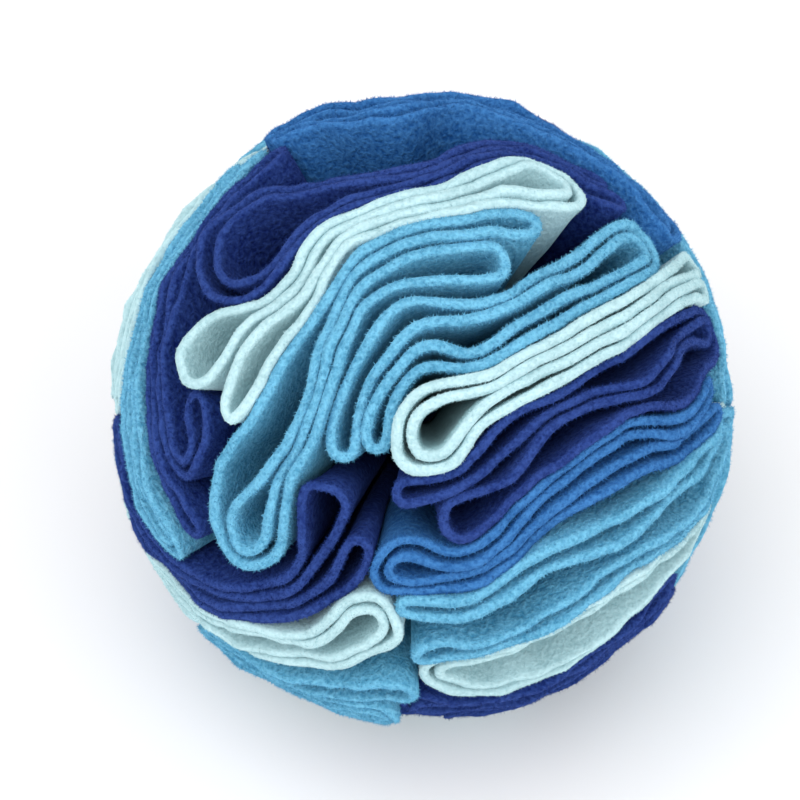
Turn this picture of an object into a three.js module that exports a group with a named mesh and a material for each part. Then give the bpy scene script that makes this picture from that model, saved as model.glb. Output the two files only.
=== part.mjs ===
// A dog's snuffle ball: rounds of fleece, each folded in quarters and pinned at its middle, so that
// together they fill a ball and only their rims show. Millimetres, +Z up, the ball stands on z = 0.
import * as THREE from 'three';

// Driving sizes. A round is cut as wide as the ball, so its rim is as long as the ball is round.
const BALL_RADIUS = 85;
const RIM_LENGTH = 2 * Math.PI * BALL_RADIUS;
// Fleece at the rim, thinning towards the middle, where the rounds are drawn together
const FLEECE = 1.9;
const PITCH = 3.0;
const KNOT_RADIUS = 44;
// How much more the cloth is pressed at the knot than its nearness to the middle asks
const KNOT_PRESSED = 0.8;
// The height of the middle over the floor is less than the radius: the ball has a small flat spot.
const CENTRE_HEIGHT = 81.4;
// The face that shows best looks this far up.
const FACE_TILT = THREE.MathUtils.degToRad(50);

// How unevenly the rims stand out, as two waves with their turns per ball across, back and up
const RIM_UNEVEN = 0.7;
const RIM_WAVES = [
  { across: 5, back: 3, up: 0, shift: 1 },
  { across: 0, back: 0, up: 4, shift: -2 },
];

// The folds are first laid as beads along each round, which settle before the solids are made.
const BEAD = 2.7;
const SPINE_LENGTH = RIM_LENGTH / 2 - 5;
const SPINE_SETTLING = { turns: 160, pull: 0.04 };
const RIM_SETTLING = { turns: 120, pull: 0.02 };
const SPACING_STIFFNESS = 0.6;
const BEND_STIFFNESS = 0.35;
const HAIRPIN = 1.5;
const PAIR_SLACK = 2;
const PAIR_REFRESH = 8;
const PAIR_CELLS = 128;

// A solid keeps only the beads that its bends need.
const BEND_TOLERANCE = 0.75;
const LONGEST_STEP = 26;

const COLOURS = {
  royal: { color: 0x26368f, roughness: 0.95, metalness: 0 },
  blue: { color: 0x2f6cb4, roughness: 0.95, metalness: 0 },
  sky: { color: 0x56acd2, roughness: 0.95, metalness: 0 },
  mint: { color: 0xcfe9e6, roughness: 0.95, metalness: 0 },
};

// A round is folded once into a double layer, and the double layer is laid out in bends. Its lay has
// a row for each place where it bends, from one folded end to the other, with the columns across,
// up and open: millimetres on the ball's face to the right and up, and the room between the two
// layers past what pressing leaves. Lift is how far its rim stands out past the ball.
const FRONT_ROUNDS = [
  { colour: 'mint', lift: 1.0, lay: [
    [-60.5, 8, 9], [-59, 16, 11.5], [-53.5, 23.5, 7], [-44, 27.3, 0.5], [-35.5, 33, 0],
    [-31, 45, 0], [-20, 54, 0], [-2, 57, 0], [10, 62, 0], [20, 72, 0],
    [43, 71, 1], [46.5, 65.5, 1.5], [40, 60, 1], [24, 59, 0], [8, 53.5, 0],
    [-12, 49, 0], [-24, 42, 0], [-29, 31, 0], [-40.5, 14.5, 5], [-50, -3, 1],
  ] },
  { colour: 'sky', lift: 0.5, lay: [
    [31, 50, 2.5], [22, 51, 3], [-17, 38, 0], [-24, 26, 0.5], [-37, 0, 9],
    [-51, -19, 9], [-57.5, -30, 2], [-56, -40, 1], [-48, -44, 1], [-41.5, -39, 1.5],
    [-39.5, -27, 1], [-26.5, 2, 0], [-15, 29, 0.5], [20, 40, 7.5],
  ] },
  { colour: 'sky', lift: 0, lay: [
    [-20.5, -11, 2], [-18.5, -2, 1.5], [-10, 15, 3], [-2, 22.5, 4], [17, 25.5, 0],
    [44, 41, 1], [68, 57, 1], [75, 55, 1], [76, 48.5, 1], [66, 42, 0.5],
    [36, 25, 1.5], [11, 11.8, 0.5], [4, 13, 2.5], [-4, 8, 0.5], [-11, -9, 1.5],
  ] },
  { colour: 'mint', lift: 1.0, lay: [
    [100, 52, 1], [50, 23.7, 0], [22, 9.3, 0], [-1.5, -0.5, 1], [-4, -8, 1.3],
    [-0.5, -14, 1], [6, -14.3, 0.8], [14, -3, 0.3], [24, 1.8, 1.2], [50, 16.5, 0],
    [84, 35.5, 0], [102, 43, 1],
  ] },
  { colour: 'royal', lift: -0.5, lay: [
    [-5, -21.3, 1.5], [10, -18.5, 1], [20, -9, 4.5], [36, 3.5, 0], [60, 11.5, 6],
    [88, 31.5, 0.5], [107, 33, 0.5], [107, 25, 0.5], [87, 11, 10], [79, 5, 7],
    [68, 3.2, 1], [56, 0.5, 1], [39, -7.5, 7], [25, -21, 1.5], [18, -27, 6],
    [8, -29.5, 9],
  ] },
  { colour: 'blue', lift: 0, lay: [
    [97, 12, 1], [90, -1, 0.5], [80, -6, 0.5], [58, -7, 0.5], [34, -22, 0],
    [14, -39, 1], [4, -40.5, 1], [-4, -37.8, 1.2], [-9.5, -41, 1], [-8.5, -47.5, 1],
    [0, -50.3, 0.5], [24, -41.5, 0.5], [36, -30, 0.5], [62, -16.5, 1.5], [92, -9, 0.5],
    [101, -1, 1],
  ] },
  { colour: 'sky', lift: 0.5, lay: [
    [-6, -53.3, 0.8], [3, -53.8, 1.2], [24, -48, 1.5], [34, -42, 3.5], [58, -34, 3],
    [88, -16, 1.5], [110, -5, 1], [114, -12, 1], [92, -36, 1], [66, -45, 3],
    [26, -68.5, 1.5], [1, -73, 2.5],
  ] },
  { colour: 'mint', lift: 0.5, lay: [
    [110, -27, 1], [104, -38, 0.5], [74, -52, 0.5], [46, -66.5, 0.5], [18, -79, 0.5],
    [8, -81, 1], [5, -86.5, 1.5], [22, -96.5, 0.5], [54, -86.5, 0], [80, -66, 0],
    [103, -53, 0], [117, -31, 0], [119, -2, 1],
  ] },
  { colour: 'royal', lift: 0, lay: [
    [94, -67, 1], [66, -86, 0.5], [42, -99, 0.5], [14, -105.5, 0.5], [-1, -103, 1],
    [-6, -108, 1], [2, -113, 0.5], [38, -110.5, 0], [72, -91.5, 0], [98, -74, 0.5],
    [96, -80, 0.5], [70, -104, 0], [32, -119, 0], [12, -121, 1],
  ] },
  { colour: 'royal', lift: 0, lay: [
    [-25, -22.5, 9], [-31, -42, 0.5], [-38, -51, 0.5], [-50, -56, 0], [-65, -57, 0],
    [-80, -54, 0], [-104, -36, 0], [-111, -8, 0.5], [-118, -10, 0.5], [-110, -41, 0],
    [-76, -64.5, 0], [-60, -64, 0], [-33, -57.5, 0.5], [-18.5, -43, 3], [-15.5, -36.5, 3],
  ] },
  { colour: 'mint', lift: 1.5, lay: [
    [-125, -24, 1], [-112, -54, 0], [-86, -71.5, 0], [-58, -69.5, 0], [-33, -69, 0],
    [-15.5, -53.5, 1], [-10, -56.5, 1.2], [-9.3, -64, 1.2], [-24, -77, 0.5], [-54, -81.5, 0.5],
    [-97, -76, 0], [-117, -57, 0], [-124, -42, 1],
  ] },
  { colour: 'sky', lift: 1.0, lay: [
    [-6, -91, 5], [-16, -92, 7], [-42, -96, 3], [-77, -90, 0.5], [-77, -96, 0.5],
    [-50, -105.5, 0], [-18, -104.5, 0.5], [-11, -109.5, 0.5], [-42, -112, 0], [-84, -97, 0.5],
    [-88, -101, 0.5], [-58, -115, 0], [-18, -122, 1],
  ] },
  { colour: 'royal', lift: 0, lay: [
    [63, 75, 1], [30, 86, 0], [12, 75.5, 0], [-5, 69, 0], [-30, 68.5, 0],
    [-52, 65, 1], [-66, 53, 2.5], [-62, 37, 2.5], [-48, 32.5, 2.5], [-32, 52, 0],
    [4, 65, 0], [34, 80, 0], [67, 68, 1],
  ] },
  { colour: 'blue', lift: 2.0, lay: [
    [-52, 95.5, 1], [-38, 97, 0.5], [-8, 94.5, 0.5], [14, 104.5, 0.5], [46, 94.5, 0],
    [73, 74, 0], [83, 62, 0.5], [89, 62, 0.5], [88, 70, 0.5], [64, 94, 0],
    [48, 103.5, 0], [16, 112, 0], [-12, 104, 0.5], [-42, 105, 0], [-56, 103, 1],
  ] },
  { colour: 'royal', lift: -1.0, lay: [
    [-69, -37.5, 1], [-83, -16, 0], [-88.5, 18, 0], [-87, 38, 0], [-73, 71.5, 0],
    [-54.5, 90, 0.5], [-49.5, 87.5, 0.5], [-65, 71.5, 0], [-80, 38, 0], [-81, 0, 0],
    [-72, -18.5, 0.8], [-67.5, -13.5, 1], [-65, 2, 3],
  ] },
  { colour: 'sky', lift: -0.5, lay: [
    [-62, 92, 1], [-72, 81, 0], [-88, 56, 0], [-93.5, 40, 0], [-95.5, 4, 0],
    [-88, -30, 0.3], [-82, -42, 1], [-84.5, -47.5, 1], [-98, -28, 0], [-104, 6, 0],
    [-103.5, 24, 0], [-94, 58, 0], [-76, 86, 0], [-66, 97, 1],
  ] },
];

// The hidden side is finished plainly, in patches of rounds that lie side by side, each round in
// three straight passes. A row gives where around the face the middle of a patch lies, in degrees,
// how far out from the face's middle, in millimetres, how far its passes are turned from running
// around the face, in degrees, and the colours of its rounds.
const PLAIN_PATCHES = [
  { part: 'side', around: 30, away: 130, turned: 0, colours: ['sky'] },
  { part: 'side', around: 90, away: 126, turned: 0, colours: ['royal'] },
  { part: 'side', around: 150, away: 121, turned: 0, colours: ['mint'] },
  { part: 'side', around: 210, away: 146, turned: 0, colours: ['blue'] },
  { part: 'side', around: 270, away: 141, turned: 0, colours: ['royal'] },
  { part: 'side', around: 330, away: 137, turned: 0, colours: ['sky'] },
  { part: 'back', around: 118, away: 258, turned: 17, colours: ['royal', 'mint', 'blue'] },
  { part: 'back', around: 119, away: 179, turned: 6, colours: ['sky', 'mint', 'blue', 'royal'] },
  { part: 'back', around: 190, away: 181, turned: 60, colours: ['blue', 'royal', 'sky'] },
  { part: 'back', around: 261, away: 194, turned: 3, colours: ['mint', 'sky', 'blue', 'royal'] },
  { part: 'back', around: 343, away: 185, turned: 90, colours: ['sky', 'blue', 'mint'] },
  { part: 'back', around: 43, away: 180, turned: -15, colours: ['royal', 'sky', 'blue'] },
];
const PLAIN_PASSES = [-1, 0, 1];
const PLAIN_PASS = 2.4 * PITCH;
const PLAIN_OPEN = 1;
// From the middle of a pass to its end, so that the passes and their bends make up the length
const PLAIN_REACH = (SPINE_LENGTH - (PLAIN_PASSES.length - 1) * PLAIN_PASS)
  / (2 * PLAIN_PASSES.length);

const FACE_OUT = new THREE.Vector3(0, -Math.cos(FACE_TILT), Math.sin(FACE_TILT));
const FACE_UP = new THREE.Vector3(0, Math.sin(FACE_TILT), Math.cos(FACE_TILT));
const FACE_RIGHT = new THREE.Vector3(1, 0, 0);

// A place on the front face, as a direction from the ball's middle
function onFace(across, up) {
  const away = Math.hypot(across, up);
  const angle = away / BALL_RADIUS;
  const side = away > 0 ? Math.sin(angle) / away : 0;
  return new THREE.Vector3()
    .addScaledVector(FACE_OUT, Math.cos(angle))
    .addScaledVector(FACE_RIGHT, side * across)
    .addScaledVector(FACE_UP, side * up);
}

// The lay as evenly spaced places on the ball, each with the half width that its double layer fills
function spineOf(lay, turn) {
  const places = lay.map(([across, up]) => onFace(across, up).applyQuaternion(turn));
  const path = new THREE.CatmullRomCurve3(places, false, 'centripetal');
  const count = Math.round(path.getLength() * BALL_RADIUS / BEAD);
  const beads = [];
  const halves = [];
  for (let i = 0; i <= count; i += 1) {
    const along = path.getUtoTmapping(i / count);
    beads.push(path.getPoint(along).setLength(BALL_RADIUS));
    halves.push(PITCH + openAt(lay, along) / 2);
  }
  return { beads, halves, closed: false, rest: SPINE_LENGTH / count };
}

function openAt(lay, along) {
  const place = along * (lay.length - 1);
  const row = Math.min(Math.floor(place), lay.length - 2);
  const [, , here] = lay[row];
  const [, , next] = lay[row + 1];
  return THREE.MathUtils.lerp(here, next, place - row);
}

// The sideways direction at a bead, in the ball's surface
function sideAt(chain, order) {
  const { beads, closed } = chain;
  const count = beads.length;
  const before = closed ? beads[(order + count - 1) % count] : beads[Math.max(order - 1, 0)];
  const after = closed ? beads[(order + 1) % count] : beads[Math.min(order + 1, count - 1)];
  return new THREE.Vector3().subVectors(after, before).cross(beads[order]).normalize();
}

// The rim of a round, one closed chain: out along one side of its spine and back along the other
function rimOf(spine) {
  const out = [];
  const back = [];
  spine.beads.forEach((bead, order) => {
    const side = sideAt(spine, order).multiplyScalar(spine.halves[order] - PITCH / 2);
    out.push(bead.clone().add(side).setLength(BALL_RADIUS));
    back.push(bead.clone().sub(side).setLength(BALL_RADIUS));
  });
  const loop = new THREE.CatmullRomCurve3([...out, ...back.reverse()], true, 'centripetal');
  loop.arcLengthDivisions = 4 * loop.points.length;
  const count = Math.round(loop.getLength() / BEAD);
  const beads = loop.getSpacedPoints(count).slice(0, count);
  beads.forEach((bead) => bead.setLength(BALL_RADIUS));
  return { beads, halves: beads.map(() => PITCH / 2), closed: true, rest: RIM_LENGTH / count };
}

// Two beads of one chain that lie this many beads apart may be closer than their widths
function nearAlong(one, other) {
  const { chain } = one;
  if (chain !== other.chain) return false;
  const count = chain.beads.length;
  const apart = Math.abs(one.order - other.order);
  const along = (chain.closed ? Math.min(apart, count - apart) : apart) * BEAD;
  return along < HAIRPIN * (one.half + other.half);
}

function pairsWithin(beads, slack) {
  const cell = 2 * Math.max(...beads.map((bead) => bead.half)) + slack;
  const cells = new Map();
  const cellOf = (length) => Math.floor(length / cell) + PAIR_CELLS / 2;
  const keyOf = ({ x, y, z }, dx, dy, dz) => cellOf(x) + dx
    + PAIR_CELLS * (cellOf(y) + dy + PAIR_CELLS * (cellOf(z) + dz));
  const pairs = [];
  for (const bead of beads) {
    for (const dx of [-1, 0, 1]) {
      for (const dy of [-1, 0, 1]) {
        for (const dz of [-1, 0, 1]) {
          for (const other of cells.get(keyOf(bead.place, dx, dy, dz)) ?? []) {
            const reach = bead.half + other.half + slack;
            const near = bead.place.distanceToSquared(other.place) < reach * reach;
            if (near && !nearAlong(bead, other)) pairs.push([bead, other]);
          }
        }
      }
    }
    const key = keyOf(bead.place, 0, 0, 0);
    if (!cells.has(key)) cells.set(key, []);
    cells.get(key).push(bead);
  }
  return pairs;
}

// Layers settle on the ball: they push each other away to their widths, keep their length, bend
// smoothly and stay near where they were laid.
function settle(chains, { turns, pull }) {
  const beads = chains.flatMap((chain) => chain.beads.map((place, order) => ({
    place, home: place.clone(), half: chain.halves[order], chain, order,
  })));
  const step = new THREE.Vector3();
  let pairs = [];
  for (let turn = 0; turn < turns; turn += 1) {
    if (turn % PAIR_REFRESH === 0) pairs = pairsWithin(beads, PAIR_SLACK);
    for (const chain of chains) relaxChain(chain, step);
    for (const [one, other] of pairs) {
      step.subVectors(one.place, other.place);
      const gap = step.length();
      const room = one.half + other.half;
      if (gap < room) {
        step.setLength((room - gap) / 2);
        one.place.add(step);
        other.place.sub(step);
      }
    }
    for (const bead of beads) {
      bead.place.lerp(bead.home, pull).setLength(BALL_RADIUS);
    }
  }
}

// One turn of a chain's own springs: even spacing, and bends spread over their neighbours
function relaxChain(chain, step) {
  const { beads, closed, rest } = chain;
  const count = beads.length;
  const last = closed ? count : count - 1;
  for (let i = 0; i < last; i += 1) {
    const one = beads[i];
    const two = beads[(i + 1) % count];
    step.subVectors(two, one);
    const length = step.length();
    step.multiplyScalar(SPACING_STIFFNESS * (length - rest) / (2 * length));
    one.add(step);
    two.sub(step);
  }
  const first = closed ? 0 : 1;
  for (let i = first; i < last; i += 1) {
    const one = beads[(i + count - 1) % count];
    const two = beads[i];
    const three = beads[(i + 1) % count];
    step.addVectors(one, three).divideScalar(2).sub(two).multiplyScalar(BEND_STIFFNESS / 2);
    two.add(step);
    one.addScaledVector(step, -1 / 2);
    three.addScaledVector(step, -1 / 2);
  }
}

// The beads that a solid keeps, so that the rim between them is straight within the tolerance
function stationsOf(chain) {
  const { beads } = chain;
  const count = beads.length;
  const kept = new Set();
  const thirds = [0, 1, 2].map((k) => Math.round(k * count / 3));
  const split = (from, to) => {
    kept.add(from % count);
    const chord = new THREE.Line3(beads[from % count], beads[to % count]);
    const nearest = new THREE.Vector3();
    let worst = 0;
    let at = -1;
    for (let i = from + 1; i < to; i += 1) {
      const bead = beads[i % count];
      chord.closestPointToPoint(bead, true, nearest);
      nearest.setLength(BALL_RADIUS);
      const off = nearest.distanceTo(bead);
      if (off > worst) {
        worst = off;
        at = i;
      }
    }
    if (worst <= BEND_TOLERANCE && chord.distance() > LONGEST_STEP) {
      at = Math.round((from + to) / 2);
    } else if (worst <= BEND_TOLERANCE) {
      return;
    }
    split(from, at);
    split(at, to);
  };
  thirds.forEach((from, k) => split(from, thirds[k + 1] ?? count));
  return [...kept].sort((a, b) => a - b);
}

// How far the cloth reaches from the ball's middle, cut short where the ball sits on the floor
function reachAt(direction, lift, phase) {
  const { x, y, z } = direction;
  const waves = RIM_WAVES.map(({ across, back, up, shift }) => (
    Math.sin(across * x + back * y + up * z + shift * phase)));
  const reach = BALL_RADIUS + lift + RIM_UNEVEN * (waves[0] + waves[1]);
  return z < 0 ? Math.min(reach, -CENTRE_HEIGHT / z) : reach;
}

// The solid of a round: its rim at each station, and the same cloth drawn in towards the knot
function roundGeometry(chain, lift, phase) {
  const stations = stationsOf(chain);
  const count = stations.length;
  const points = [];
  const faces = [];
  const before = new THREE.Vector3();
  const after = new THREE.Vector3();
  stations.forEach((order, i) => {
    const here = chain.beads[order];
    const sideBefore = before.subVectors(here, chain.beads[stations[(i + count - 1) % count]])
      .cross(here).normalize().clone();
    const sideAfter = after.subVectors(chain.beads[stations[(i + 1) % count]], here)
      .cross(here).normalize().clone();
    const side = sideBefore.add(sideAfter);
    side.multiplyScalar(FLEECE / side.lengthSq());
    for (const [sign, layer] of [[1, 'rim'], [-1, 'rim'], [-1, 'knot'], [1, 'knot']]) {
      const pressed = layer === 'rim' ? 1 : KNOT_PRESSED;
      const direction = here.clone().addScaledVector(side, sign * pressed).normalize();
      const reach = layer === 'rim' ? reachAt(direction, lift, phase) : KNOT_RADIUS;
      points.push(...direction.multiplyScalar(reach));
    }
    const a = 4 * i;
    const b = 4 * ((i + 1) % count);
    for (let k = 0; k < 4; k += 1) {
      const next = (k + 1) % 4;
      faces.push(a + k, b + k, b + next, a + k, b + next, a + next);
    }
  });
  const geometry = new THREE.BufferGeometry();
  geometry.setAttribute('position', new THREE.Float32BufferAttribute(points, 3));
  geometry.setIndex(faces);
  geometry.computeVertexNormals();
  return geometry;
}

// A plain round's lay, its passes one past the other, from how far across its patch its middle lies
function plainLay(middle) {
  return PLAIN_PASSES.flatMap((pass) => [-1, -0.5, 0, 0.5, 1].map((share) => {
    const heading = pass === 0 ? -1 : 1;
    return [middle + pass * PLAIN_PASS, heading * share * PLAIN_REACH, PLAIN_OPEN];
  }));
}

// How the front face is turned to bring its middle to a patch's middle
function turnOf({ around, away, turned }) {
  const spin = (degrees) => (
    new THREE.Quaternion().setFromAxisAngle(FACE_OUT, THREE.MathUtils.degToRad(degrees)));
  const tip = new THREE.Quaternion().setFromAxisAngle(FACE_UP, away / BALL_RADIUS);
  return spin(around).multiply(tip).multiply(spin(turned));
}

// Every round with its lay, and with its part of the ball, where it has a number
function allRounds() {
  const rounds = FRONT_ROUNDS.map((row) => ({ ...row, part: 'front', turn: new THREE.Quaternion() }));
  for (const patch of PLAIN_PATCHES) {
    const { part, colours } = patch;
    const turn = turnOf(patch);
    colours.forEach((colour, i) => {
      const middle = (i - (colours.length - 1) / 2) * PLAIN_PASSES.length * PLAIN_PASS;
      rounds.push({ part, colour, lift: 0, lay: plainLay(middle), turn });
    });
  }
  const numbers = { front: 0, side: 0, back: 0 };
  for (const round of rounds) {
    numbers[round.part] += 1;
    round.name = `${round.part}_${numbers[round.part]}_${round.colour}`;
  }
  return rounds;
}

const rounds = allRounds();
const spines = rounds.map(({ lay, turn }) => spineOf(lay, turn));
settle(spines, SPINE_SETTLING);
const rims = spines.map(rimOf);
settle(rims, RIM_SETTLING);

const ball = new THREE.Group();
ball.name = 'snuffle_ball';
ball.position.z = CENTRE_HEIGHT;
rounds.forEach(({ name, colour, lift }, i) => {
  const material = new THREE.MeshStandardMaterial(COLOURS[colour]);
  const mesh = new THREE.Mesh(roundGeometry(rims[i], lift, i), material);
  mesh.name = name;
  ball.add(mesh);
});

export default ball;
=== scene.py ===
"""A dog's snuffle ball: rounds of fleece, folded and pinned at their middles so that their rims
fill a ball. Each round's cloth is drawn along the folded rim of its solid, with a nap of short
fibres."""

import math

import bpy
import numpy as np
from bpy.props import FloatProperty, FloatVectorProperty, IntProperty, PointerProperty
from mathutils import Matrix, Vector


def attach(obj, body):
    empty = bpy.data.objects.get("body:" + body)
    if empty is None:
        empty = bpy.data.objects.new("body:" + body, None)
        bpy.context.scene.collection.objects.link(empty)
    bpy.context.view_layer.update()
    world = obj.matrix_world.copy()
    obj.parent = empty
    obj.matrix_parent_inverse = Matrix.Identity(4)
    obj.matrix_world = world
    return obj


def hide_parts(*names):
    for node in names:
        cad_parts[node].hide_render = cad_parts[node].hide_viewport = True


bl_info = {
    "name": "Snuffle ball",
    "version": (1, 0, 0),
    "blender": (4, 5, 0),
    "location": "View3D > Sidebar > Snuffle ball",
    "description": "Fleece rounds of a snuffle ball, drawn along the rims of their solids",
    "category": "Object",
}

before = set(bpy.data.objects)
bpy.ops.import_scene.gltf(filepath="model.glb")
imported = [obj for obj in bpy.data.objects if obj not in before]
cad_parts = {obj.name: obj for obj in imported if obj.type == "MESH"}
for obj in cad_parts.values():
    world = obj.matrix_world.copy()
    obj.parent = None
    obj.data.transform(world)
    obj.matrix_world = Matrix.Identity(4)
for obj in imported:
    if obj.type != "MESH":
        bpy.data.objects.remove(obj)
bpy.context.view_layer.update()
CENTRE = Vector((0, 0, 0.0814))
BALL_RADIUS = 0.085
# Corners of a solid that are further out than this belong to its rim.
RIM_FROM = 0.060
# The photographed face of the ball looks up at this angle.
FACE_TILT = math.radians(50)
FACE_OUT = Vector((0, -math.cos(FACE_TILT), math.sin(FACE_TILT)))

# The cloth's section, around its rim: how many points it has, how strongly they gather towards
# the rim, and how square the rim is.
SECTION_POINTS = 20
RIM_GATHER = 2.2
RIM_SQUARE = 8
# Steps of the curve between two corners of a rim, before it is divided evenly.
CURVE_STEPS = 24
# Noise mostly stays within a sixth of its middle value, so this stretches it to its full size.
NOISE_STRETCH = 3
# How far apart the rounds lie in the noise, so that no two are uneven alike.
OWN_STEP = 7.3
# Lower than any point of the ball, for the two directions that the floor doesn't hold up.
FAR_LOW = -1.0
# How far a fibre leans and turns, and the least and greatest share of its length.
FIBRE_TURN = (0.9, 0.9, 3.1)
FIBRE_GROWTH = (0.4, 1.2)

# Sizes of the fleece's grain, as the scales of its noises.
PILE_SCALE = 1500.0
TUFT_SCALE = 720.0
PATCH_SCALE = 70.0
# How far in from the rim the painted highlight reaches, and from where the painted shade in the
# folds is full.
RIM_HIGHLIGHT_BAND = 0.0014
FULL_PAINTED_SHADE_AT = 0.026
# How pebbled each fleece is, and how strongly painted shade darkens its folds.
PEBBLING_AND_PAINTED_SHADE = {"royal": (0.9, 1.0), "blue": (0.9, 1.0), "sky": (1.0, 0.9), "mint": (0.55, 0.3)}
THIN_FLEECES = ("royal", "blue")

FLOOR_REACH = 6.0
FLOOR_GAP = 0.0004
FLOOR_COLOUR = (0.86, 0.86, 0.87, 1)
PHOTO_WIDTH = 800
VIEW_SHIFT = (-21 / PHOTO_WIDTH, 8 / PHOTO_WIDTH)


class ClothSizes(bpy.types.PropertyGroup):
    """Sizes of a round of fleece"""
    thickness: FloatProperty(
        name="Thickness", description="The light fleece at the rim, its nap left out",
        default=0.00262, unit="LENGTH")
    thin: FloatProperty(
        name="Thin", description="The two deep blue fleeces at the rim, their nap left out",
        default=0.00225, unit="LENGTH")
    inner: FloatProperty(
        name="Inner radius", description="How near to the ball's middle the cloth is drawn",
        default=0.030, unit="LENGTH")
    step: FloatProperty(
        name="Step", description="Length of one step along a rim on the ball's face",
        default=0.0015, unit="LENGTH")
    plain_step: FloatProperty(
        name="Plain step", description="Length of one step along a rim at the sides and back",
        default=0.0021, unit="LENGTH")
    sway: FloatProperty(
        name="Sway", description="How far neighbouring rounds bend aside together",
        default=0.0024, unit="LENGTH")
    sway_size: FloatProperty(
        name="Sway size", description="How long one such bend is", default=0.030, unit="LENGTH")
    rise: FloatProperty(
        name="Rise", description="How unevenly neighbouring rims stand out together",
        default=0.0009, unit="LENGTH")
    rise_size: FloatProperty(
        name="Rise size", description="How long one such rise is", default=0.012, unit="LENGTH")
    wave: FloatProperty(
        name="Wave", description="How unevenly each round was cut, so how its layers step",
        default=0.0021, unit="LENGTH")
    wave_size: FloatProperty(
        name="Wave size", description="How long one wave of the cut edge is",
        default=0.024, unit="LENGTH")


class NapSizes(bpy.types.PropertyGroup):
    """Sizes of the fibres that stand out of the fleece near its rim"""
    density: FloatProperty(
        name="Density", description="Fibres on each square millimetre at the rims of the face",
        default=4.5)
    plain_density: FloatProperty(
        name="Plain density",
        description="Fibres on each square millimetre at the rims of the sides and back",
        default=2.2)
    depth: FloatProperty(
        name="Depth", description="How far in from the rim the fibres reach",
        default=0.005, unit="LENGTH")
    length: FloatProperty(
        name="Length", description="Length of a fibre", default=0.0009, unit="LENGTH")
    short: FloatProperty(
        name="Short", description="Length of a fibre on the pale fleece, which is brushed smoother",
        default=0.0005, unit="LENGTH")
    width: FloatProperty(
        name="Width", description="Width of a fibre at its root", default=0.00020, unit="LENGTH")
    seed: IntProperty(name="Seed", description="Seed of the fibres' places", default=7)


class FleeceColours(bpy.types.PropertyGroup):
    """Colours of the fleece"""
    royal: FloatVectorProperty(
        name="Royal", description="The deep blue fleece", subtype="COLOR", size=3,
        default=(0.009, 0.042, 0.220))
    blue: FloatVectorProperty(
        name="Blue", description="The mid blue fleece", subtype="COLOR", size=3,
        default=(0.028, 0.160, 0.410))
    sky: FloatVectorProperty(
        name="Sky", description="The light blue fleece", subtype="COLOR", size=3,
        default=(0.132, 0.415, 0.600))
    mint: FloatVectorProperty(
        name="Mint", description="The pale fleece", subtype="COLOR", size=3,
        default=(0.430, 0.622, 0.662))


class StageSizes(bpy.types.PropertyGroup):
    """Camera, floor and lights"""
    distance: FloatProperty(
        name="Camera distance", description="From the ball's middle", default=0.9, unit="LENGTH")
    lens: FloatProperty(name="Lens", description="Focal length in millimetres", default=146.1)
    key: FloatProperty(name="Key light", description="Power in watts", default=10)
    fill: FloatProperty(name="Fill light", description="Power in watts", default=7)
    room: FloatProperty(name="Room light", description="Light from all round", default=0.92)


class Value:
    """A node's socket, with arithmetic that adds a Math node for each step"""

    def __init__(self, nodes, socket):
        self.nodes = nodes
        self.socket = socket

    def math(self, operation, *others):
        return self.nodes.add("ShaderNodeMath", {"operation": operation}, [self, *others])

    def __add__(self, other):
        return self.math("ADD", other)

    def __sub__(self, other):
        return self.math("SUBTRACT", other)

    def __mul__(self, other):
        return self.math("MULTIPLY", other)

    def __truediv__(self, other):
        return self.math("DIVIDE", other)

    def __pow__(self, other):
        return self.math("POWER", other)

    def __radd__(self, other):
        return self + other

    def __rmul__(self, other):
        return self * other

    def __rsub__(self, other):
        return self.nodes.add("ShaderNodeMath", {"operation": "SUBTRACT"}, [other, self])

    def __rtruediv__(self, other):
        return self.nodes.add("ShaderNodeMath", {"operation": "DIVIDE"}, [other, self])


class Nodes:
    """A node tree, with one method that adds a node"""

    def __init__(self, tree):
        self.tree = tree

    def add(self, kind, settings=None, inputs=(), out=0):
        node = self.tree.nodes.new(kind)
        for name, value in (settings or {}).items():
            if name == "captured":
                node.capture_items.new(value, "Captured")
            else:
                setattr(node, name, value)
        pairs = inputs.items() if isinstance(inputs, dict) else enumerate(inputs)
        for key, value in pairs:
            if isinstance(value, Value):
                self.tree.links.new(value.socket, node.inputs[key])
            else:
                node.inputs[key].default_value = value
        return Value(self, node.outputs[out]) if node.outputs else None

    def vector(self, operation, *inputs, out=0):
        return self.add("ShaderNodeVectorMath", {"operation": operation}, inputs, out)

    def scaled(self, vector, factor):
        return self.add("ShaderNodeVectorMath", {"operation": "SCALE"}, {
            0: vector, "Scale": factor})

    def noise(self, place, scale, detail, roughness=0.5, out=0):
        return self.add("ShaderNodeTexNoise", {}, {
            "Vector": place, "Scale": scale, "Detail": detail, "Roughness": roughness}, out)

    def captured(self, geometry, field, kind):
        """The geometry with a field kept on it, and that field"""
        kept = self.add("GeometryNodeCaptureAttribute", {"captured": kind}, [geometry, field])
        return kept, Value(self, kept.socket.node.outputs[1])

    def above(self, place, floor):
        """The place, lifted to the floor where it is lower"""
        lowest = self.add("ShaderNodeCombineXYZ", {}, [FAR_LOW, FAR_LOW, floor])
        return self.vector("MAXIMUM", place, lowest)


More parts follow.
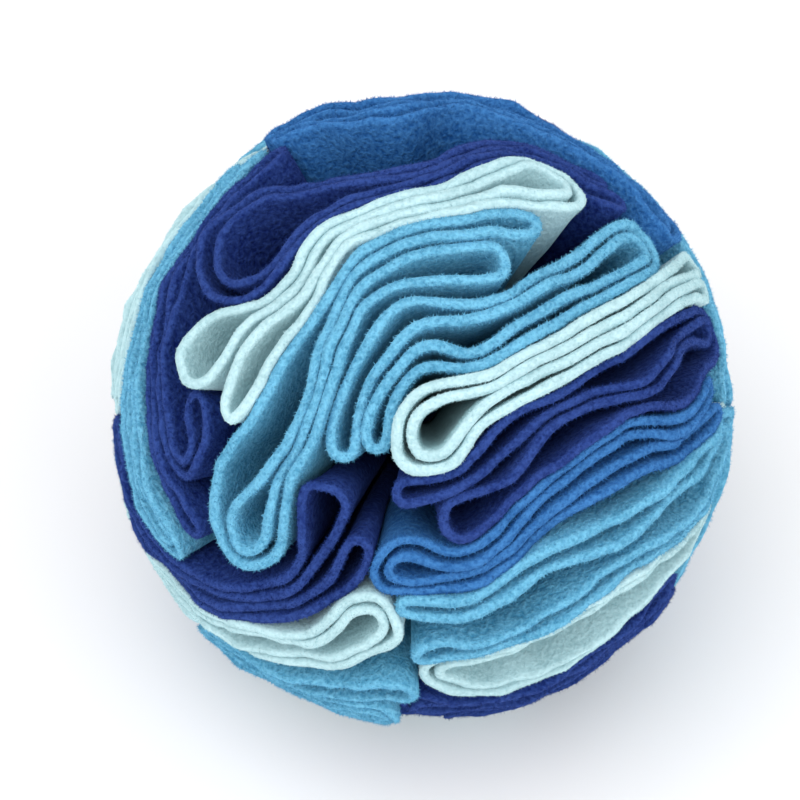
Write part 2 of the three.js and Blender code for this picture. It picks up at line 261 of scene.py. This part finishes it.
def geometry_tree(name, sizes):
    """A Geometry Nodes tree with a geometry socket each way and named sockets for its sizes"""
    tree = bpy.data.node_groups.new(name, "GeometryNodeTree")
    tree.interface.new_socket("Geometry", in_out="OUTPUT", socket_type="NodeSocketGeometry")
    tree.interface.new_socket("Geometry", in_out="INPUT", socket_type="NodeSocketGeometry")
    for size, kind in sizes.items():
        tree.interface.new_socket(size, in_out="INPUT", socket_type="NodeSocket" + kind)
    nodes = Nodes(tree)
    entry = tree.nodes.new("NodeGroupInput")
    inputs = {s.name: Value(nodes, s) for s in entry.outputs if s.name}
    return tree, nodes, inputs


def run_tree(name, mesh, tree, values):
    """An object with the tree's result on the mesh, as a plain mesh"""
    piece = bpy.data.objects.new(name, mesh)
    bpy.context.scene.collection.objects.link(piece)
    modifier = piece.modifiers.new("shape", "NODES")
    modifier.node_group = tree
    for item in tree.interface.items_tree:
        if item.in_out == "INPUT" and item.name in values:
            modifier[item.identifier] = values[item.name]
    evaluated = piece.evaluated_get(bpy.context.evaluated_depsgraph_get())
    result = bpy.data.meshes.new_from_object(evaluated)
    result.name = name
    piece.modifiers.remove(modifier)
    piece.data = result
    return piece


def finish_tree(nodes, geometry, material):
    """Ends a Geometry Nodes tree with plain geometry in its material"""
    plain = nodes.add("GeometryNodeRealizeInstances", {}, [geometry])
    plain = nodes.add("GeometryNodeSetMaterial", {}, {"Geometry": plain, "Material": material})
    nodes.add("NodeGroupOutput", {}, [plain])


def cloth_tree():
    """From the middle line of a rim to the cloth between it and the ball's middle"""
    tree, nodes, size = geometry_tree("Round of fleece", {
        "Thickness": "Float", "Inner radius": "Float", "Ball radius": "Float", "Sway": "Float",
        "Sway size": "Float", "Rise": "Float", "Rise size": "Float", "Wave": "Float",
        "Wave size": "Float", "Own": "Float", "Floor": "Float", "Middle": "Vector",
        "Cloth": "Material"})

    path = nodes.add("GeometryNodeMeshToCurve", {}, [size["Geometry"]])
    path, place = nodes.captured(path, nodes.add("GeometryNodeInputPosition"), "VECTOR")
    path, heading = nodes.captured(path, nodes.add("GeometryNodeInputTangent"), "VECTOR")
    path, around = nodes.captured(path, nodes.add("GeometryNodeSplineParameter"), "FLOAT")
    section = nodes.add("GeometryNodeCurvePrimitiveCircle", {}, {"Resolution": SECTION_POINTS})
    section, order = nodes.captured(section, nodes.add("GeometryNodeInputIndex"), "FLOAT")
    tube = nodes.add("GeometryNodeCurveToMesh", {}, {"Curve": path, "Profile Curve": section})

    # A section runs from the middle of the rim down one face, across, and up the other face.
    turn = order / SECTION_POINTS
    side = (0.5 - turn).math("SIGN")
    inward = 1 - (2 * turn - 1).math("ABSOLUTE")
    own = nodes.add("ShaderNodeCombineXYZ", {}, [size["Own"], size["Own"] * 2, 0.0])
    lumps = nodes.vector("ADD", nodes.scaled(place, 1 / size["Rise size"]), own)
    uneven = nodes.noise(lumps, 1.0, 3.0)
    # Laid flat, the rim is a circle, and its waves run around that circle.
    angle = around * (2 * math.pi)
    flat_radius = size["Ball radius"] / size["Wave size"]
    flat_place = nodes.add("ShaderNodeCombineXYZ", {}, [
        angle.math("COSINE") * flat_radius, angle.math("SINE") * flat_radius, size["Own"]])
    cut = nodes.noise(flat_place, 1.0, 2.0)
    reach = nodes.vector("LENGTH", place, out=1) + (uneven - 0.5) * size["Rise"] * NOISE_STRETCH
    reach = reach + (cut - 0.5) * size["Wave"] * NOISE_STRETCH
    outward = nodes.vector("NORMALIZE", place)
    aside = nodes.vector("NORMALIZE", nodes.vector("CROSS_PRODUCT", heading, outward))
    corner = (1 - (inward * RIM_SQUARE).math("MINIMUM", 1.0)) ** 2
    across = (1 - corner).math("SQRT") * size["Thickness"] * side / 2
    depth = inward ** RIM_GATHER * (reach - size["Inner radius"])
    rim = nodes.scaled(outward, size["Ball radius"])
    line = nodes.vector("ADD", rim, nodes.scaled(aside, across))
    point = nodes.scaled(nodes.vector("NORMALIZE", line), reach - depth)
    swaying = nodes.noise(nodes.scaled(point, 1 / size["Sway size"]), 1.0, 2.0, out="Color")
    push = nodes.scaled(nodes.vector("SUBTRACT", swaying, (0.5, 0.5, 0.5)), size["Sway"] * 2)
    point = nodes.vector("ADD", nodes.vector("ADD", point, push), size["Middle"])
    point = nodes.above(point, size["Floor"])

    cloth = nodes.add("GeometryNodeSetPosition", {}, {"Geometry": tube, "Position": point})
    kept = {"data_type": "FLOAT", "domain": "POINT"}
    cloth = nodes.add("GeometryNodeStoreNamedAttribute", kept, {
        "Geometry": cloth, "Name": "rim_depth", "Value": depth})
    cloth = nodes.add("GeometryNodeSetShadeSmooth", {}, [cloth])
    finish_tree(nodes, cloth, size["Cloth"])
    return tree


def nap_tree():
    """From the cloth to the short fibres that stand on it near its rim"""
    tree, nodes, size = geometry_tree("Nap of fleece", {
        "Density": "Float", "Depth": "Float", "Length": "Float", "Width": "Float", "Seed": "Int",
        "Floor": "Float", "Cloth": "Material"})
    depth = nodes.add("GeometryNodeInputNamedAttribute", {"data_type": "FLOAT"}, {
        "Name": "rim_depth"})
    share = (1 - depth / size["Depth"]).math("MAXIMUM", 0.0)
    roots = nodes.add("GeometryNodeDistributePointsOnFaces", {"distribute_method": "RANDOM"}, {
        "Mesh": size["Geometry"], "Density": share * size["Density"], "Seed": size["Seed"]})
    standing = Value(nodes, roots.socket.node.outputs["Rotation"])
    lean = nodes.add("FunctionNodeRandomValue", {"data_type": "FLOAT_VECTOR"}, {
        "Min": tuple(-part for part in FIBRE_TURN), "Max": FIBRE_TURN, "Seed": size["Seed"]})
    leaning = nodes.add("FunctionNodeRotateRotation", {"rotation_space": "LOCAL"}, [standing, lean])
    growth = nodes.add("FunctionNodeRandomValue", {"data_type": "FLOAT"}, {
        2: FIBRE_GROWTH[0], 3: FIBRE_GROWTH[1], "Seed": size["Seed"]}, 1)

    # A fibre is a triangle of radius one, so 1.5 long and 1.732 wide, drawn out to its length and
    # stood on its short side.
    fibre = nodes.add("GeometryNodeMeshCircle", {"fill_type": "NGON"}, {
        "Vertices": 3, "Radius": 1.0})
    drawn = nodes.add("ShaderNodeCombineXYZ", {}, [
        size["Length"] / 1.5, size["Width"] / 1.732, 1.0])
    lifted = nodes.add("ShaderNodeCombineXYZ", {}, [0.0, 0.0, size["Length"] / 3])
    fibre = nodes.add("GeometryNodeTransform", {}, {
        "Geometry": fibre, "Translation": lifted, "Rotation": (0, -math.pi / 2, 0), "Scale": drawn})
    nap = nodes.add("GeometryNodeInstanceOnPoints", {}, {
        "Points": roots, "Instance": fibre, "Rotation": leaning, "Scale": growth})
    nap = nodes.add("GeometryNodeRealizeInstances", {}, [nap])
    # Fibres under the ball are pressed flat on the floor.
    pressed = nodes.above(nodes.add("GeometryNodeInputPosition"), size["Floor"])
    nap = nodes.add("GeometryNodeSetPosition", {}, {"Geometry": nap, "Position": pressed})
    finish_tree(nodes, nap, size["Cloth"])
    return tree


def material_nodes(name):
    """A material with an empty node tree"""
    material = bpy.data.materials.new(name)
    material.use_nodes = True
    material.node_tree.nodes.clear()
    return material, Nodes(material.node_tree)


def fleece_material(name, colour, pebbled, painted_shade_strength):
    """Soft fleece with a sheen: a pebbled pile, with a painted highlight along the rim and painted
    shade darkening it deeper in the folds
    """
    material, nodes = material_nodes(name)
    place = nodes.add("ShaderNodeTexCoord", out="Object")
    depth = nodes.add("ShaderNodeAttribute", {"attribute_name": "rim_depth"}, out="Fac")
    pile = nodes.noise(place, PILE_SCALE, 2.0, 0.6)
    tufts = nodes.noise(place, TUFT_SCALE, 1.0)
    patches = nodes.noise(place, PATCH_SCALE, 2.0)
    # Painted shade: how far the cloth lies into the folds, towards the ball's middle, up to full
    # shade.
    deep = (depth / FULL_PAINTED_SHADE_AT).math("MINIMUM", 1.0) * painted_shade_strength
    # Painted highlight: paler in a narrow band at the rim. The nap's fibres carry no rim_depth, so
    # they are painted pale all over.
    rim_highlight = 1 - (depth / RIM_HIGHLIGHT_BAND).math("MINIMUM", 1.0)
    tone = ((pile - 0.5) * 1.1 + (tufts - 0.5) * 1.7) * pebbled + (patches - 0.5) * 0.8
    # Painted highlight at the rim and painted shade deeper in the folds, added to the pile's random
    # tone.
    tone = tone + 0.55 + rim_highlight * 0.25 - deep * 0.5
    tone = tone.math("MAXIMUM", 0.0).math("MINIMUM", 1.0)
    # The dark colour serves both the pile's random darker grain and the painted shade in the folds.
    # It is more saturated, since light passed on between the fibres and folds colours shade more
    # strongly.
    dark = [0.85 * part ** 1.4 for part in colour] + [1]
    pale = [min(1, 1.15 * part + 0.02) for part in colour] + [1]
    paint = nodes.add("ShaderNodeMix", {"data_type": "RGBA"}, {0: tone, 6: dark, 7: pale}, 2)
    # More painted shade: the colour is darkened further deeper in the folds.
    paint = nodes.scaled(paint, 1 - deep * 0.45)
    height = tufts * 0.65 + pile * 0.35
    bump = nodes.add("ShaderNodeBump", {}, {
        "Strength": 0.75 * pebbled, "Distance": 0.0018, "Height": height})
    surface = nodes.add("ShaderNodeBsdfPrincipled", {}, {
        "Base Color": paint, "Roughness": 0.95, "Normal": bump, "Sheen Weight": 0.4,
        "Sheen Roughness": 0.45, "Sheen Tint": [min(1, 1.5 * c + 0.04) for c in colour] + [1],
        "Specular IOR Level": 0.12})
    nodes.add("ShaderNodeOutputMaterial", {}, {"Surface": surface})
    return material


def plain_material(name, colour, roughness):
    """A smooth material, for the floor"""
    material, nodes = material_nodes(name)
    surface = nodes.add("ShaderNodeBsdfPrincipled", {}, {
        "Base Color": colour, "Roughness": roughness})
    nodes.add("ShaderNodeOutputMaterial", {}, {"Surface": surface})
    return material


def corners_of(node):
    """The distinct corners of a solid, from the ball's middle, and its triangles as rows of them"""
    mesh = node.data
    places = np.empty(3 * len(mesh.vertices), np.float32)
    mesh.vertices.foreach_get("co", places)
    mesh.calc_loop_triangles()
    triangles = np.empty(3 * len(mesh.loop_triangles), np.int32)
    mesh.loop_triangles.foreach_get("vertices", triangles)
    places = places.reshape(-1, 3).astype(float) - np.array(CENTRE)
    corners, same = np.unique(places.round(6), axis=0, return_inverse=True)
    return corners, same.ravel()[triangles].reshape(-1, 3)


def rim_loops(corners, triangles):
    """The two edges of a solid's rim, each a closed row of corners in the order of its faces"""
    outer = np.linalg.norm(corners, axis=1) > RIM_FROM
    rim = triangles[outer[triangles].all(axis=1)]
    edges = {(int(a), int(b)) for row in rim for a, b in zip(row, np.roll(row, -1))}
    after = {a: b for a, b in edges if (b, a) not in edges}
    loops = []
    while after:
        start, here = after.popitem()
        loop = [start]
        while here != start:
            loop.append(here)
            here = after.pop(here)
        loops.append(corners[loop])
    return loops


def rim_line(node):
    """The middle line of a solid's rim, one point between each pair of its corners"""
    one, two = rim_loops(*corners_of(node))
    if len(one) != len(two):
        raise RuntimeError(f"{node.name}: the rim's edges have {len(one)} and {len(two)} corners")
    two = two[::-1]
    shifts = [np.roll(two, k, axis=0) for k in range(len(two))]
    two = min(shifts, key=lambda shifted: ((shifted - one) ** 2).sum())
    return (one + two) / 2


def smooth_line(points, step):
    """A smooth closed line through the points, in even steps: centripetal Catmull-Rom"""
    before, after, further = (np.roll(points, k, axis=0) for k in (1, -1, -2))

    def spacing(a, b):
        return np.sqrt(np.linalg.norm(b - a, axis=1))[:, None]

    first, middle, last = spacing(before, points), spacing(points, after), spacing(after, further)
    leave = middle * ((points - before) / first - (after - before) / (first + middle)
                      + (after - points) / middle)
    arrive = middle * ((after - points) / middle - (further - points) / (middle + last)
                       + (further - after) / last)
    fine = []
    for k in range(CURVE_STEPS):
        t = k / CURVE_STEPS
        fine.append((2 * t ** 3 - 3 * t ** 2 + 1) * points + (t ** 3 - 2 * t ** 2 + t) * leave
                    + (3 * t ** 2 - 2 * t ** 3) * after + (t ** 3 - t ** 2) * arrive)
    line = np.stack(fine, axis=1).reshape(-1, 3)
    line = np.vstack([line, line[:1]])
    along = np.concatenate([[0], np.cumsum(np.linalg.norm(np.diff(line, axis=0), axis=1))])
    count = round(along[-1] / step)
    stops = np.arange(count) * along[-1] / count
    return np.stack([np.interp(stops, along, line[:, axis]) for axis in range(3)], axis=1)


def line_mesh(name, line):
    """A closed line as a mesh of edges"""
    mesh = bpy.data.meshes.new(name)
    count = len(line)
    mesh.from_pydata([tuple(p) for p in line], [(i, (i + 1) % count) for i in range(count)], [])
    return mesh


class SNUFFLE_OT_rounds(bpy.types.Operator):
    """Draws the cloth of every round, and its nap, along the folded rim of its solid"""
    bl_idname = "snuffle.rounds"
    bl_label = "Fleece rounds"

    def execute(self, context):
        scene = context.scene
        cloth, nap, colours = scene.snuffle_cloth, scene.snuffle_nap, scene.snuffle_colours
        cloth_shape, nap_shape = cloth_tree(), nap_tree()
        fleeces = {name: fleece_material(name + " fleece", list(getattr(colours, name)), *pebbling_and_painted_shade)
                   for name, pebbling_and_painted_shade in PEBBLING_AND_PAINTED_SHADE.items()}
        for order, (name, node) in enumerate(sorted(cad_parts.items())):
            kind = name.split("_")[-1]
            front = name.startswith("front")
            line = smooth_line(rim_line(node), cloth.step if front else cloth.plain_step)
            piece = run_tree("cloth_" + name, line_mesh(name, line), cloth_shape, {
                "Thickness": cloth.thin if kind in THIN_FLEECES else cloth.thickness,
                "Inner radius": cloth.inner, "Ball radius": BALL_RADIUS, "Sway": cloth.sway,
                "Sway size": cloth.sway_size, "Rise": cloth.rise, "Rise size": cloth.rise_size,
                "Wave": cloth.wave, "Wave size": cloth.wave_size, "Own": OWN_STEP * order,
                "Floor": 0.0, "Middle": CENTRE, "Cloth": fleeces[kind]})
            fibres = run_tree("nap_" + name, piece.data.copy(), nap_shape, {
                "Density": (nap.density if front else nap.plain_density) * 1e6, "Depth": nap.depth,
                "Length": nap.short if kind == "mint" else nap.length, "Width": nap.width,
                "Seed": nap.seed + order, "Floor": 0.0, "Cloth": fleeces[kind]})
            for part in (piece, fibres):
                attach(part, "root")
            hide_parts(name)
        return {"FINISHED"}


class SNUFFLE_OT_stage(bpy.types.Operator):
    """Makes the floor, the lights and the camera"""
    bl_idname = "snuffle.stage"
    bl_label = "Stage"

    def execute(self, context):
        scene = context.scene
        sizes = scene.snuffle_stage
        mesh = bpy.data.meshes.new("floor")
        corners = [(x * FLOOR_REACH, y * FLOOR_REACH, -FLOOR_GAP)
                   for x, y in ((-1, -1), (1, -1), (1, 1), (-1, 1))]
        mesh.from_pydata(corners, [], [(0, 1, 2, 3)])
        floor = bpy.data.objects.new("floor", mesh)
        scene.collection.objects.link(floor)
        mesh.materials.append(plain_material("pale floor", FLOOR_COLOUR, 0.9))

        for name, place, width, power in (
                ("key light", (-0.45, -0.5, 1.2), 1.3, sizes.key),
                ("fill light", (0.9, -0.9, 0.8), 1.2, sizes.fill)):
            light = bpy.data.lights.new(name, "AREA")
            light.size = width
            light.energy = power
            lamp = bpy.data.objects.new(name, light)
            lamp.location = CENTRE + Vector(place)
            lamp.rotation_euler = (CENTRE - lamp.location).to_track_quat("-Z", "Y").to_euler()
            scene.collection.objects.link(lamp)

        world = bpy.data.worlds.new("room")
        world.use_nodes = True
        world.node_tree.nodes["Background"].inputs["Color"].default_value = (1, 1, 1, 1)
        world.node_tree.nodes["Background"].inputs["Strength"].default_value = sizes.room
        scene.world = world
        scene.view_settings.view_transform = "Standard"

        view = bpy.data.cameras.new("camera")
        view.lens = sizes.lens
        view.sensor_width = 36
        view.shift_x, view.shift_y = VIEW_SHIFT
        camera = bpy.data.objects.new("camera", view)
        camera.location = CENTRE + sizes.distance * FACE_OUT
        camera.rotation_euler = (-FACE_OUT).to_track_quat("-Z", "Y").to_euler()
        scene.collection.objects.link(camera)
        scene.camera = camera
        return {"FINISHED"}


class SNUFFLE_PT_panel(bpy.types.Panel):
    """The sizes of the ball and the buttons that make it"""
    bl_label = "Snuffle ball"
    bl_idname = "SNUFFLE_PT_panel"
    bl_space_type = "VIEW_3D"
    bl_region_type = "UI"
    bl_category = "Snuffle ball"

    def draw(self, context):
        layout = self.layout
        for group in GROUPS:
            sizes = getattr(context.scene, group)
            for name in sizes.__annotations__:
                layout.prop(sizes, name)
        for operator in (SNUFFLE_OT_rounds, SNUFFLE_OT_stage):
            layout.operator(operator.bl_idname)


GROUPS = {
    "snuffle_cloth": ClothSizes,
    "snuffle_nap": NapSizes,
    "snuffle_colours": FleeceColours,
    "snuffle_stage": StageSizes,
}
CLASSES = (*GROUPS.values(), SNUFFLE_OT_rounds, SNUFFLE_OT_stage, SNUFFLE_PT_panel)


def register():
    for kind in CLASSES:
        bpy.utils.register_class(kind)
    for name, group in GROUPS.items():
        setattr(bpy.types.Scene, name, PointerProperty(type=group))


def unregister():
    for name in GROUPS:
        delattr(bpy.types.Scene, name)
    for kind in reversed(CLASSES):
        bpy.utils.unregister_class(kind)


def main():
    register()
    bpy.ops.snuffle.stage()
    bpy.ops.snuffle.rounds()


if __name__ == "__main__":
    main()
